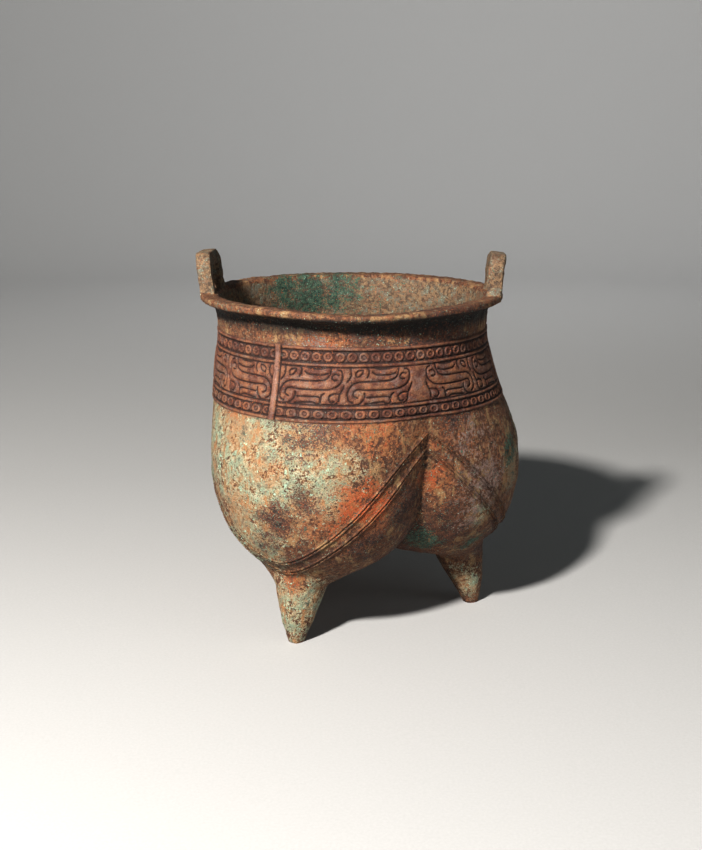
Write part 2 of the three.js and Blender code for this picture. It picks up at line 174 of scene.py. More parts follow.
def smooth_line(points, steps=7):
    """A rounded path through points, as straight pieces."""
    p = np.asarray(points, float)
    if len(p) < 3:
        return p
    q = np.vstack([2 * p[0] - p[1], p, 2 * p[-1] - p[-2]])
    out = []
    for a, b, c, d in zip(q[:-3], q[1:-2], q[2:-1], q[3:]):
        for t in np.arange(steps) / steps:
            out.append(0.5 * (2 * b + (c - a) * t + (2 * a - 5 * b + 4 * c - d) * t**2
                              + (3 * b - a - 3 * c + d) * t**3))
    return np.vstack(out + [p[-1:]])


# Cut lines of one scroll unit, between broad flat ribbons: points as shares of its width and height
SCROLL_CUTS = [
    # The wide S, its upper edge and its lower edge with a coil at each end
    [(0.81, 0.97), (0.8, 0.84), (0.77, 0.72), (0.71, 0.65), (0.61, 0.62), (0.31, 0.61), (0.2, 0.6),
     (0.12, 0.55), (0.07, 0.46), (0.04, 0.35), (0.04, 0.24), (0.06, 0.16), (0.11, 0.12)],
    [(0.18, 0.23), (0.13, 0.27), (0.12, 0.33), (0.14, 0.4), (0.2, 0.43), (0.35, 0.41), (0.62, 0.41),
     (0.75, 0.42), (0.85, 0.46), (0.93, 0.55), (0.97, 0.68), (0.97, 0.8), (0.95, 0.87), (0.9, 0.89)],
    [(0.92, 0.77), (0.87, 0.79), (0.83, 0.75), (0.82, 0.69), (0.85, 0.64), (0.89, 0.65)],
    [(0.28, 0.34), (0.28, 0.25), (0.25, 0.16), (0.19, 0.08), (0.12, 0.06), (0.05, 0.05)],
    # Below it: a stripe with a knob, and a small coil
    [(0.31, 0.24), (0.56, 0.25), (0.63, 0.24), (0.65, 0.19), (0.65, 0.11), (0.61, 0.07), (0.58, 0.1),
     (0.51, 0.12), (0.29, 0.09)],
    [(0.66, 0.2), (0.67, 0.28), (0.71, 0.33)],
    [(1.0, 0.54), (0.96, 0.4), (0.93, 0.33), (0.88, 0.33), (0.82, 0.31), (0.78, 0.26), (0.78, 0.18),
     (0.81, 0.12), (0.85, 0.14)],
    [(0.68, 0.06), (0.78, 0.06), (0.86, 0.08), (0.91, 0.14), (0.92, 0.24), (0.93, 0.33)],
    # Above it: an eye between two brackets, and a blade
    [(0.05, 1.02), (0.09, 0.92), (0.1, 0.8), (0.08, 0.69), (0.04, 0.61)],
    [(0.17, 0.75), (0.17, 0.82), (0.21, 0.87), (0.27, 0.88), (0.26, 0.8), (0.22, 0.74), (0.17, 0.72)],
    [(0.3, 0.98), (0.35, 0.91), (0.36, 0.81), (0.33, 0.71)],
    [(0.42, 0.98), (0.47, 0.92), (0.57, 0.9), (0.69, 0.92), (0.74, 0.98)],
    [(0.41, 0.84), (0.46, 0.78), (0.55, 0.76), (0.65, 0.76), (0.76, 0.8)],
]
CUT_HALF = 0.34  # in mm
CUT_DEPTH, SHOULDER = 0.95, 0.2  # shares of the relief and of the cut's depth
GROUND = 0.58  # level between the rings


def scroll_unit():
    """The scroll unit's relief over a fine table, as a share of the full height."""
    reach = OUTER.radius((SCROLLS_TOP + SCROLLS_BOTTOM) / 2) * UNIT_SPAN
    tall = SCROLLS_TOP - SCROLLS_BOTTOM
    u, v = np.meshgrid(np.linspace(-0.02, 1.06, 440), np.linspace(0, 1, 250), indexing="ij")
    x, y = u * reach, v * tall
    nearest = np.full(x.shape, 9.0)
    for points in SCROLL_CUTS:
        line = smooth_line(points) * (reach, tall)
        for a, b in zip(line[:-1], line[1:]):
            d = b - a
            t = np.clip(((x - a[0]) * d[0] + (y - a[1]) * d[1]) / (d @ d + 1e-9), 0, 1)
            nearest = np.minimum(nearest, np.hypot(x - a[0] - t * d[0], y - a[1] - t * d[1]))
    return 1 - cut(nearest)


def cut(distance, depth=CUT_DEPTH):
    """A narrow line sunk into the surface, with rounded shoulders."""
    core = depth * np.exp(-((distance / CUT_HALF) ** 2))
    return core + SHOULDER * depth * np.exp(-((distance / (3 * CUT_HALF)) ** 2))


UNIT = scroll_unit()


def ring_relief(azimuth, z, height, count):
    """A row of raised rings, each with a dark line round it and one in it."""
    line = 0.3
    pitch = THIRD / count
    across = (azimuth / pitch - np.floor(azimuth / pitch) - 0.5) * pitch * OUTER.radius(height)
    d = np.hypot(across, z - height)
    crest = smooth(RING_HALF + 0.35, RING_HALF - 0.15, np.abs(d - RING_RADIUS))
    shadow = np.exp(-(((d - RING_RADIUS - RING_HALF - 0.4) / line) ** 2))
    hole = np.exp(-(((d - RING_RADIUS + RING_HALF + line) / line) ** 2))
    return GROUND + (1 - GROUND) * crest - 0.35 * shadow - 0.3 * hole


def frieze(azimuth, z):
    """Relief of the band as a share of its full height, and how much of the point is in it."""
    inside = smooth(FRIEZE_BOTTOM - 1.4, FRIEZE_BOTTOM - 0.6, z)
    inside = inside * smooth(FRIEZE_TOP + 1.4, FRIEZE_TOP + 0.6, z)
    relief = np.ones(z.shape)
    for height, count in RINGS:
        row = np.abs(z - height) < RING_ROW_HALF
        relief = np.where(row, ring_relief(azimuth, z, height, count), relief)
    v = (z - SCROLLS_BOTTOM) / (SCROLLS_TOP - SCROLLS_BOTTOM)
    register = (v > 0) & (v < 1)
    reach = OUTER.radius((SCROLLS_TOP + SCROLLS_BOTTOM) / 2)
    for i, offset in enumerate(UNIT_OFFSETS):
        mirror = SIXTH + i * THIRD + math.radians(offset)
        local = (azimuth - mirror + math.pi) % (2 * math.pi) - math.pi
        left = 2 * UNIT_SPAN + MIRROR_GAP - np.abs(local)
        u = np.where(left > UNIT_SPAN, left - UNIT_SPAN, left) / UNIT_SPAN
        here = register & (left > -0.02 * UNIT_SPAN) & (left < 2 * UNIT_SPAN)
        a = np.clip((u + 0.02) / 1.08 * (UNIT.shape[0] - 1), 0, UNIT.shape[0] - 1)
        b = np.clip(v * (UNIT.shape[1] - 1), 0, UNIT.shape[1] - 1)
        relief = np.where(here, UNIT[a.astype(int), b.astype(int)], relief)
    # A raised thread with a cut line on each side of it
    for at in (FRIEZE_TOP, SCROLLS_TOP, SCROLLS_BOTTOM, FRIEZE_BOTTOM):
        d = np.abs(z - at)
        relief = np.maximum(relief, smooth(THREAD_HALF + 0.25, THREAD_HALF - 0.25, d))
        relief = relief - cut(d - THREAD_HALF - 0.4, 0.8)
    # Where two moulds met: a broad plain strip between two cut lines, the right one deeper
    for direction in LOBES:
        away = (azimuth - direction - SEAM + math.pi) % (2 * math.pi) - math.pi
        d = away * reach
        relief = relief + (SEAM_RISE - relief) * smooth(1.75, 1.2, np.abs(d))
        relief = relief - cut(d - SEAM_HALF) - cut(d + SEAM_HALF, 0.45)
    return relief, inside


def ridge_relief(angle, z, end_of):
    """The double-threaded ridges of a lobe, from the angle about its centre."""
    relief = np.zeros_like(z)
    band = np.zeros_like(z)
    for crotch, front, power in RIDGES:
        end = end_of(crotch)
        share = np.abs(angle) / end
        line = front + (crotch - front) * share**power
        run = OUTER.radius(line) * end
        slope = (crotch - front) * power * share ** (power - 1) / run
        d = (z - line) / np.sqrt(1 + slope**2)
        from_thread = (np.abs(d) - RIDGE_THREADS_APART) / RIDGE_THREAD_WIDTH
        relief = np.maximum(relief, np.exp(-(from_thread**2)))
        band = np.maximum(band, smooth(2.4, 1.2, np.abs(d)))
    return relief, band


class Mesh:
    """Vertices with what the material needs to know about them, and triangles."""

    def __init__(self):
        self.points, self.data, self.faces, self.count = [], [], [], 0

    def row(self, points, data):
        self.points.append(points)
        self.data.append(data)
        start = self.count
        self.count += len(points)
        return np.arange(start, self.count)

    def strip(self, lower, upper, flip=False):
        n, m = len(lower) - 1, len(upper) - 1
        if n == m:
            a, b, c, d = lower[:-1], lower[1:], upper[1:], upper[:-1]
            tris = np.vstack([np.stack([a, b, c], 1), np.stack([a, c, d], 1)])
        else:
            out, i, j = [], 0, 0
            while i < n or j < m:
                if (i + 1) / n <= (j + 1) / m and i < n:
                    out.append((lower[i], lower[i + 1], upper[j]))
                    i += 1
                else:
                    out.append((lower[i], upper[j + 1], upper[j]))
                    j += 1
            tris = np.array(out)
        self.faces.append(tris[:, ::-1] if flip else tris)

    def fan(self, ring, hub, flip=False):
        tris = np.stack([ring[:-1], ring[1:], np.full(len(ring) - 1, hub)], 1)
        self.faces.append(tris[:, ::-1] if flip else tris)


def lobe_row(mesh, skin, z, angles, direction, outside, relief=0.0, band=0.0, ridge=0.0):
    """A row of a lobe at one height; relief is how far each point is raised, in mm."""
    centre, radius = skin.centre(z), skin.radius(z)
    x, y = centre + radius * np.cos(angles), radius * np.sin(angles)
    relief = np.broadcast_to(relief, angles.shape)
    along = angles.copy()
    if abs(y[0] + x[0] * math.tan(SIXTH)) < 1e-6:  # both lobes raise the crotch the same way
        along[0], along[-1] = -SIXTH, SIXTH
    x, y = x + relief * np.cos(along), y + relief * np.sin(along)
    c, s = math.cos(direction), math.sin(direction)
    points = np.stack([x * c - y * s, x * s + y * c, np.full(len(x), float(z))], 1)
    # Painted shade along the crease where two lobes meet, up to about 100 mm high
    to_crotch = (skin.crotch(z) - np.abs(angles)) * radius
    crease_shade = smooth(5.0, 0.5, to_crotch) * smooth(104, 96, z)
    data = np.zeros((len(x), len(FIELDS)))
    for i, values in enumerate((outside, relief, band, ridge, crease_shade)):
        data[:, i] = values
    return mesh.row(points, data)


def outer_row(mesh, z, direction, count):
    """A row of the outside above the crotch's foot, with frieze and ridges on it."""
    end = float(OUTER.crotch(z))
    angles = np.linspace(-end, end, count + 1)
    centre, radius = OUTER.centre(z), OUTER.radius(z)
    x, y = centre + radius * np.cos(angles), radius * np.sin(angles)
    azimuth = np.arctan2(y, x) + direction
    at = np.full(len(angles), float(z))
    relief, inside = frieze(azimuth, at)
    lines, band = ridge_relief(angles, at, OUTER.crotch)
    lift = relief * inside * RIBBON_RISE + lines * RIDGE_RISE
    return lobe_row(mesh, OUTER, z, angles, direction, 1.0, lift, inside, band)


def lone_point(mesh, place, outside):
    data = np.zeros((1, len(FIELDS)))
    data[0, 0] = outside
    return mesh.row(np.array([place]), data)[0]


def skin_rows(mesh, skin, levels, below, direction, outside, flip):
    """One lobe's skin: open arcs down to the crotch's foot, whole rings below it."""
    apex = skin.height_of(1, below[-1], levels[0][0])
    saddle = skin.height_of(1 / math.sin(SIXTH), below[-1], apex)
    rows = []
    for z, count in levels:
        if z <= apex + 0.3:
            continue
        if outside:
            rows.append(outer_row(mesh, z, direction, count))
        else:
            end = float(skin.crotch(z))
            angles = np.linspace(-end, end, count + 1)
            rows.append(lobe_row(mesh, skin, z, angles, direction, 0.0))
    count = levels[-1][1]
    between = np.linspace(apex, saddle, 5)
    for z in between:
        end = min(float(skin.crotch(z)), 2.5 * SIXTH)
        if outside:
            rows.append(outer_row(mesh, z, direction, count))
        else:
            rows.append(lobe_row(mesh, skin, z, np.linspace(-end, end, count + 1), direction, 0.0))
    for upper, lower in zip(rows[:-1], rows[1:]):
        mesh.strip(lower, upper, flip)
    # The lobe's inner side, between the vessel's axis and the saddle
    inner_count = max(count // 3, 8)
    hub = lone_point(mesh, (0.0, 0.0, apex), outside)
    last = None
    for z in between[1:]:
        cross = 4 * SIXTH - math.asin(min(skin.share(z) * math.sin(SIXTH), 1))
        angles = np.linspace(cross, 2 * math.pi - cross, inner_count + 1)
        row = lobe_row(mesh, skin, z, angles, direction, outside)
        if last is None:
            mesh.fan(row, hub, flip)
        else:
            mesh.strip(row, last, flip)
        last = row
    ring = np.concatenate([rows[-1], last[1:]])
    for z in below:
        if z >= saddle - 0.3:
            continue
        outer = np.linspace(-2.5 * SIXTH, 2.5 * SIXTH, count + 1)
        inward = np.linspace(2.5 * SIXTH, 2 * math.pi - 2.5 * SIXTH, inner_count + 1)[1:]
        angles = np.concatenate([outer, inward])
        lift, band = 0.0, 0.0
        if outside:
            folded = np.where(angles > math.pi, angles - 2 * math.pi, angles)
            lines, band = ridge_relief(folded, np.full(len(angles), z), OUTER.crotch)
            lift = lines * RIDGE_RISE
        lower = lobe_row(mesh, skin, z, angles, direction, outside, lift, 0.0, band)
        mesh.strip(lower, ring, flip)
        ring = lower
    floor = below[-1]
    reach = skin.centre(floor)
    tip = (reach * math.cos(direction), reach * math.sin(direction), floor)
    mesh.fan(ring, lone_point(mesh, tip, outside), not flip)
    return rows[0]


def round_row(mesh, radius, z, direction, count, outside):
    angles = np.linspace(-SIXTH, SIXTH, count + 1) + direction
    points = np.stack([radius * np.cos(angles), radius * np.sin(angles), np.full(count + 1, z)], 1)
    data = np.zeros((count + 1, len(FIELDS)))
    data[:, 0] = outside
    return mesh.row(points, data)


def body(fine):
    """The vessel without its ears, as one closed skin; fine is the mesh step in the frieze."""
    mesh = Mesh()
    coarser = 1.75
    columns = int(THIRD * 68 / fine)
    coarse = int(THIRD * 75 / (fine * coarser))
    inner = 60
    levels = [(z, columns) for z in np.arange(NECK, FRIEZE_TOP + 1.6, -0.9)]
    levels += [(z, columns) for z in np.arange(FRIEZE_TOP + 1.4, FRIEZE_BOTTOM - 1.6, -fine)]
    levels += [(z, coarse) for z in np.arange(FRIEZE_BOTTOM - 2.0, 38, -fine * coarser)]
    below = list(np.arange(39, 24, -0.7)) + list(np.arange(23, 1.5, -1.5))
    below += [1.2, 0.5, 0.0]
    inner_levels = [(z, inner) for z in np.linspace(NECK, 40, 52)]
    inner_below = [39, 37, 35, 33.5, 32.3, 31.5, CAVITY_FLOOR]
    for direction in LOBES:
        top = skin_rows(mesh, OUTER, levels, below, direction, 1.0, False)
        rows = [top]
        for height, radius in FLARE:
            rows.append(round_row(mesh, radius * RIM_RADIUS, height * RIM_HEIGHT, direction,
                                  columns, 1.0))
        under = RIM_HEIGHT - RIM_THICKNESS
        lip = [(RIM_RADIUS - 0.9, under), (RIM_RADIUS - 0.25, under + 0.35),
               (RIM_RADIUS, under + 1.0), (RIM_RADIUS, RIM_HEIGHT - 1.0),
               (RIM_RADIUS - 0.3, RIM_HEIGHT - 0.35), (RIM_RADIUS - 1.0, RIM_HEIGHT)]
        for radius, height in lip:
            rows.append(round_row(mesh, radius, height, direction, 220, 1.0))
        throat = 0.93 * RIM_RADIUS - WALL
        edge_radius, edge_height = throat - 0.8, RIM_HEIGHT - 1.6
        for t in (0.35, 0.7, 1.0):
            radius = RIM_RADIUS - 1.0 + t * (throat - RIM_RADIUS + 1.0)
            rows.append(round_row(mesh, radius, RIM_HEIGHT - RIM_SLOPE * t, direction, 120, 1.0))
        rows.append(round_row(mesh, edge_radius, edge_height, direction, 90, 0.5))
        for lower, upper in zip(rows[:-1], rows[1:]):
            mesh.strip(lower, upper)
        skin_top = skin_rows(mesh, INNER, inner_levels, inner_below, direction, 0.0, True)
        wall = [skin_top]
        neck_radius = INNER.radius(NECK)
        for t in (0.3, 0.6, 0.85):
            height = NECK + t * (edge_height - NECK)
            radius = neck_radius + (edge_radius - neck_radius) * t**1.3
            wall.append(round_row(mesh, radius, height, direction, inner, 0.0))
        wall.append(rows[-1])
        for lower, upper in zip(wall[:-1], wall[1:]):
            mesh.strip(lower, upper, True)
    return mesh


def weld(mesh):
    """Points that coincide become one, and faces that this closes up are dropped."""
    cells_per_mm = 2000
    points, data = np.vstack(mesh.points), np.vstack(mesh.data)
    faces = np.vstack(mesh.faces)
    keys = np.rint(points * cells_per_mm).astype(np.int64)
    _, first, inverse = np.unique(keys, axis=0, return_index=True, return_inverse=True)
    faces = inverse.reshape(-1)[faces]
    a, b, c = faces.T
    faces = faces[(a != b) & (b != c) & (a != c)]
    return points[first], data[first], faces


def to_object(name, points, faces):
    mesh = bpy.data.meshes.new(name)
    mesh.vertices.add(len(points))
    mesh.vertices.foreach_set("co", points.astype(np.float32).ravel())
    mesh.loops.add(faces.size)
    mesh.loops.foreach_set("vertex_index", faces.astype(np.int32).ravel())
    mesh.polygons.add(len(faces))
    mesh.polygons.foreach_set("loop_start", np.arange(0, faces.size, 3, dtype=np.int32))
    mesh.update(calc_edges=True)
    mesh.validate()
    obj = bpy.data.objects.new(name, mesh)
    bpy.context.scene.collection.objects.link(obj)
    return obj


def positions(obj):
    co = np.zeros(len(obj.data.vertices) * 3, np.float32)
    obj.data.vertices.foreach_get("co", co)
    return co.reshape(-1, 3).astype(float)


EAR_WIDTH, EAR_RISE, EAR_BAR, EAR_THICKNESS = 32.0, 19.5, 7.5, 7.2
EAR_INSET, EAR_ROOT, EAR_CORNER, EAR_BEND = 7.4, 2.6, 8.5, 0.7
EAR_LEAN, EAR_TURN = math.radians(5.5), math.radians(-3.6)
EAR_ROUNDING = 0.22  # power that makes the bar's round section nearly square
EAR_FOOT_WIDER, EAR_FOOT_THICKER = 0.22, 0.02


def ear(side):
    """A rounded bar bent into an arch, standing on the rim."""
    half, radius = EAR_WIDTH / 2 - EAR_BAR / 2, EAR_CORNER - EAR_BAR / 2
    top = EAR_RISE - EAR_BAR / 2
    path = [(-half, z, 0.0) for z in np.linspace(-EAR_ROOT, top - radius, 9)[:-1]]
    turn = np.linspace(0, math.pi / 2, 10)
    path += [(-half + radius * (1 - math.cos(t)), top - radius + radius * math.sin(t), t)
             for t in turn]
    rise = list(path)
    path += [(y, top, math.pi / 2) for y in np.linspace(-half + radius, half - radius, 16)[1:-1]]
    path += [(-y, z, math.pi - t) for y, z, t in reversed(rise)]
    around = np.linspace(0, 2 * math.pi, 20, endpoint=False)
    c, s = np.cos(around), np.sin(around)
    across = np.sign(c) * np.abs(c) ** EAR_ROUNDING
    through = np.sign(s) * np.abs(s) ** EAR_ROUNDING
    points, faces = [], []
    for y, z, t in path:
        foot = smooth(4.5, -1.5, z) if t in (0.0, math.pi) else 0.0
        wide = EAR_BAR / 2 * (1 + EAR_FOOT_WIDER * foot)
        deep = EAR_THICKNESS / 2 * (1 + EAR_FOOT_THICKER * foot)
        normal = (-math.cos(t), math.sin(t))
        py = y + across * wide * normal[0]
        pz = z + across * wide * normal[1]
        px = EAR_THICKNESS / 2 + through * deep
        points.append(np.stack([px - EAR_BEND * py**2 / (2 * RIM_RADIUS), py, pz], 1))
    n = len(around)
    for i in range(len(path) - 1):
        a = i * n + np.arange(n)
        b = i * n + (np.arange(n) + 1) % n
        faces.append(np.stack([a, b, b + n], 1))
        faces.append(np.stack([a, b + n, a + n], 1))
    points = np.vstack(points)
    ends = np.stack([points[:n].mean(0), points[-n:].mean(0)])
    hub = len(points)
    ring = np.arange(n)
    faces.append(np.stack([(ring + 1) % n, ring, np.full(n, hub)], 1))
    last = (len(path) - 1) * n + ring
    faces.append(np.stack([last, (ring + 1) % n + (len(path) - 1) * n, np.full(n, hub + 1)], 1))
    points = np.vstack([points, ends])
    c, s = math.cos(EAR_LEAN), math.sin(EAR_LEAN)
    x, z = points[:, 0] * c + points[:, 2] * s, -points[:, 0] * s + points[:, 2] * c
    points = np.stack([x + RIM_RADIUS - EAR_INSET, points[:, 1], z + RIM_HEIGHT], 1)
    turn = EAR_TURN + (0 if side > 0 else math.pi)
    c, s = math.cos(turn), math.sin(turn)
    points[:, :2] = points[:, :2] @ np.array([(c, s), (-s, c)])
    return points, np.vstack(faces)


def bronze_mesh(fine, most):
    """The whole vessel as one closed mesh in mm, with at most so many triangles."""
    points, data, faces = weld(body(fine))
    obj = to_object("vessel_bronze", points, faces)
    for i, name in enumerate(FIELDS):
        values = data[:, i].astype(np.float32)
        obj.data.attributes.new(name, "FLOAT", "POINT").data.foreach_set("value", values)
    for side in (1, -1):
        handle = to_object("ear", *ear(side))
        union = obj.modifiers.new("ear", "BOOLEAN")
        union.operation, union.solver, union.object = "UNION", "MANIFOLD", handle
        apply_modifiers(obj)
        bpy.data.objects.remove(handle)
    corrode(obj)
    fewer = obj.modifiers.new("fewer", "DECIMATE")
    fewer.ratio = min(1.0, most / len(obj.data.polygons))
    apply_modifiers(obj)
    return obj


def apply_modifiers(obj):
    bpy.context.view_layer.update()
    graph = bpy.context.evaluated_depsgraph_get()
    made = bpy.data.meshes.new_from_object(obj.evaluated_get(graph))
    old = obj.data
    obj.modifiers.clear()
    obj.data = made
    bpy.data.meshes.remove(old)


def values_of(obj, name):
    out = np.zeros(len(obj.data.vertices), np.float32)
    obj.data.attributes[name].data.foreach_get("value", out)
    return out.astype(float)


def store(obj, name, values):
    attribute = obj.data.attributes.get(name) or obj.data.attributes.new(name, "FLOAT", "POINT")
    attribute.data.foreach_set("value", np.asarray(values, np.float32))


def noise_at(points, size, seed=0.0, octaves=1):
    """Smooth noise of one size in mm, between about -1 and 1."""
    shift = Vector((seed * 3.1, seed * 1.7, -seed * 2.3))
    if octaves == 1:
        return np.array([noise.noise(Vector(p) + shift) for p in points / size])
    return np.array([noise.fractal(Vector(p) + shift, 0.9, 2.1, octaves) for p in points / size])


# Warp of the lip in front: rise in mm, azimuth and reach in degrees
LIP_WARP = [(0.4, -122, 9), (-1.7, -84, 24)]


def corrode(obj):
    """Crust and pits, moved along the normals, and the lip's slight warp."""
    co = positions(obj)
    normal = np.zeros(len(co) * 3, np.float32)
    obj.data.vertex_normals.foreach_get("vector", normal)
    normal = normal.reshape(-1, 3)
    z = co[:, 2]
    inside_band = values_of(obj, "frieze")
    outside = values_of(obj, "outside")
    neck = smooth(148.5, 150.5, z) * smooth(163, 160, z) * outside
    legs = smooth(42, 30, z) * outside
    top = smooth(161, 163, z)
    broad = noise_at(co, 16.0, 1)
    middling = noise_at(co, 5.0, 2, 3)
    small = noise_at(co, 1.7, 3, 2)
    flat = noise_at(co * (1, 1, 2.6), 4.5, 4, 2)
    plain = 1 - inside_band
    # How far each noise moves the surface, in mm
    move = 0.16 * broad + plain * (0.2 * middling + 0.17 * small) + inside_band * 0.05 * small
    move += neck * (0.24 * flat + 0.1 * small) + legs * 0.16 * middling + top * 0.16 * middling
    pits = smooth(0.42, 0.75, noise_at(co, 3.2, 7)) * plain
    move -= 0.22 * pits
    co += normal * move[:, None]
    azimuth = np.degrees(np.arctan2(co[:, 1], co[:, 0]))
    warp = sum(rise * np.exp(-(((azimuth - at) / reach) ** 2)) for rise, at, reach in LIP_WARP)
    co[:, 2] += warp * smooth(154, 162, z)
    obj.data.vertices.foreach_set("co", co.astype(np.float32).ravel())
    store(obj, "pits", pits)
    # Where the material paints the lip's shadow: a band on the neck under the lip
    store(obj, "under", smooth(153.5, 156.5, z) * smooth(163.0, 162.5, z) * outside)


# The mesh's step in the frieze, in mm, and the most triangles
FINE = 0.36
MOST = 190000
vessel = bronze_mesh(FINE, MOST)


# Patches of patina, with a painted highlight and some painted shade among them: centre in the imported
# frame and reach, in mm, and for weak ones their strength
PATINA = {
    "pale": [((-60, -62, 95), 34), ((-72, -40, 100), 30), ((-29, -76, 106), 21), ((-15, -81, 90), 22),
             ((-80, -2, 176), 9), ((76, 2, 176), 9), ((55, -12, 14), 12),
             ((-53, -65, 58), 26), ((-40, -70, 78), 26), ((-75, 0, 80), 40), ((-50, 55, 85), 45),
             ((0, 72, 100), 30), ((60, 45, 75), 32), ((78, 10, 95), 22), ((57, -44, 60), 10),
             ((-32, -58, 20), 22), ((20, 60, 60), 18), ((76, -25, 83), 12)],
    "orange": [((1, -78, 77), 16), ((10, -73, 108), 15, 0.8), ((34, -56, 82), 12),
               ((-6, -75, 113), 12, 0.7), ((-19, -66, 151), 18, 0.75), ((-58, -47, 128), 18),
               ((-33, -62, 34), 8), ((40, 60, 110), 14), ((-60, 30, 60), 16), ((75, 20, 60), 12),
               ((-10, 78, 70), 14), ((-22, -79, 68), 12, 0.6), ((48, -52, 113), 15, 0.62),
               ((29, -62, 101), 12, 0.7)],
    "red": [((2, -78, 78), 15), ((-10, -81, 66), 9, 0.7), ((35, -56, 84), 10, 0.8),
            ((6, -73, 60), 11, 0.65), ((-57, -47, 127), 9, 0.7), ((-5, -72, 152), 9, 0.6),
            ((20, 72, 80), 14, 0.7)],
    "dark": [((44, -54, 119), 13), ((44, -50, 54), 17), ((23, -62, 72), 11), ((26, -48, 50), 14),
             ((-29, -76, 48), 10), ((62, -12, 48), 20), ((-30, 75, 60), 20), ((70, 35, 100), 20),
             # The broad patch on the right of the neck is partly dark patina, partly painted shade
             ((38, -56, 150), 23), ((-80, 10, 110), 14), ((10, -30, 40), 30), ((-38, -75, 70), 11, 0.8),
             ((-27, -78, 81), 8, 0.72), ((-24, -74, 112), 18, 0.5), ((-44, -70, 58), 9, 0.6),
             ((2, -68, 53), 14, 0.7), ((12, -68, 153), 18, 0.6), ((-28, -62, 154), 16, 0.4)],
    # Tops brightened: in front a painted highlight, at the back polish from wear
    "wear_and_highlight": [((-25, -66, 133), 15), ((-52, -52, 130), 9, 0.6), ((30, 62, 130), 15, 0.8)],
    "grey": [((60, -44, 80), 16), ((54, -48, 101), 14, 0.7), ((-22, -67, 134), 18), ((0, 68, 130), 20),
             ((-45, 70, 95), 16), ((50, -40, 64), 10)],
    "deep_green": [((-32, 58, 156), 22), ((-12, 64, 158), 14), ((30, -43, 48), 11),
                   ((72, -25, 92), 9), ((55, -30, 42), 9), ((-70, -20, 60), 14), ((20, 78, 90), 14)],
}


def place(obj):
    """From the vessel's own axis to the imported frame, in metres."""
    co = positions(obj)
    co[:, 0] += AXIS_X - LEAN * co[:, 2] / RIM_HEIGHT
    for name, patches in PATINA.items():
        total = np.zeros(len(co))
        for centre, reach, *strength in patches:
            d = np.linalg.norm(co - np.array(centre), axis=1)
            total = np.maximum(total, smooth(1.5, 0.3, d / reach) * (strength or [1])[0])
        store(obj, name, total)
    obj.data.vertices.foreach_set("co", (co * MM).astype(np.float32).ravel())
    obj.data.shade_smooth()
    obj.data.update()


place(vessel)


class Tree:
    """Short hand for a material's nodes."""

    def __init__(self, name):
        self.material = bpy.data.materials.new(name)
        self.material.use_nodes = True
        self.nodes = self.material.node_tree.nodes
        self.links = self.material.node_tree.links
        self.shader = self.nodes["Principled BSDF"]
        self.plain = self.where = None

    def add(self, kind, inputs=(), **settings):
        node = self.nodes.new("ShaderNode" + kind)
        for key, value in settings.items():
            setattr(node, key, value)
        for key, value in dict(inputs).items():
            self.put(node.inputs[key], value)
        return node

    def put(self, socket, value):
        if isinstance(value, bpy.types.NodeSocket):
            self.links.new(value, socket)
        elif socket.type == "RGBA" and len(value) == 3:
            socket.default_value = (*value, 1)
        else:
            socket.default_value = value

    def warp(self, size, amount):
        """Object coordinates bent by noise, which all later noise reads."""
        plain = self.add("TexCoord").outputs["Object"]
        bend = self.add("TexNoise", {"Vector": plain, "Scale": 1 / (size * MM), "Detail": 3})
        off = self.add("VectorMath", {0: bend.outputs["Color"], 1: (0.5, 0.5, 0.5)},
                       operation="SUBTRACT")
        scaled = self.add("VectorMath", {0: off.outputs[0], "Scale": amount * MM}, operation="SCALE")
        moved = self.add("VectorMath", {0: plain, 1: scaled.outputs[0]}, operation="ADD")
        self.plain, self.where = plain, moved.outputs[0]

    def noise(self, size, detail=4, rough=0.6, stretch=None, warped=True):
        where = self.where if warped else self.plain
        if stretch:
            where = self.add("VectorMath", {0: where, 1: stretch}, operation="MULTIPLY").outputs[0]
        made = self.add("TexNoise", {"Vector": where, "Scale": 1 / (size * MM), "Detail": detail,
                                     "Roughness": rough})
        return made.outputs["Fac"]

    def attribute(self, name):
        return self.add("Attribute", attribute_name=name).outputs["Fac"]

    def math(self, operation, a, b):
        return self.add("Math", {0: a, 1: b}, operation=operation).outputs[0]

    def product(self, first, *rest):
        for value in rest:
            first = self.math("MULTIPLY", first, value)
        return first

    def total(self, *terms):
        """Sum of the terms, each a value, a factor and the middle that the value is counted from."""
        out = None
        for value, factor, middle in terms:
            part = self.math("MULTIPLY", self.math("SUBTRACT", value, middle), factor)
            out = part if out is None else self.math("ADD", out, part)
        return out

    def step(self, value, low, high):
        return self.add("MapRange", {"Value": value, "From Min": low, "From Max": high},
                        interpolation_type="SMOOTHSTEP").outputs["Result"]

    def remap(self, value, low, high, start, end):
        return self.add("MapRange", {"Value": value, "From Min": low, "From Max": high,
                                     "To Min": start, "To Max": end}).outputs["Result"]

    def mix(self, factor, a, b, blend="MIX"):
        node = self.add("Mix", data_type="RGBA", blend_type=blend, clamp_factor=True)
        for socket, value in zip((node.inputs[0], node.inputs[6], node.inputs[7]), (factor, a, b)):
            self.put(socket, value)
        return node.outputs[2]

    def over(self, under, tone, *mask):
        """A tone laid over a colour where the product of the masks says so."""
        return self.mix(self.product(*mask), under, tone)
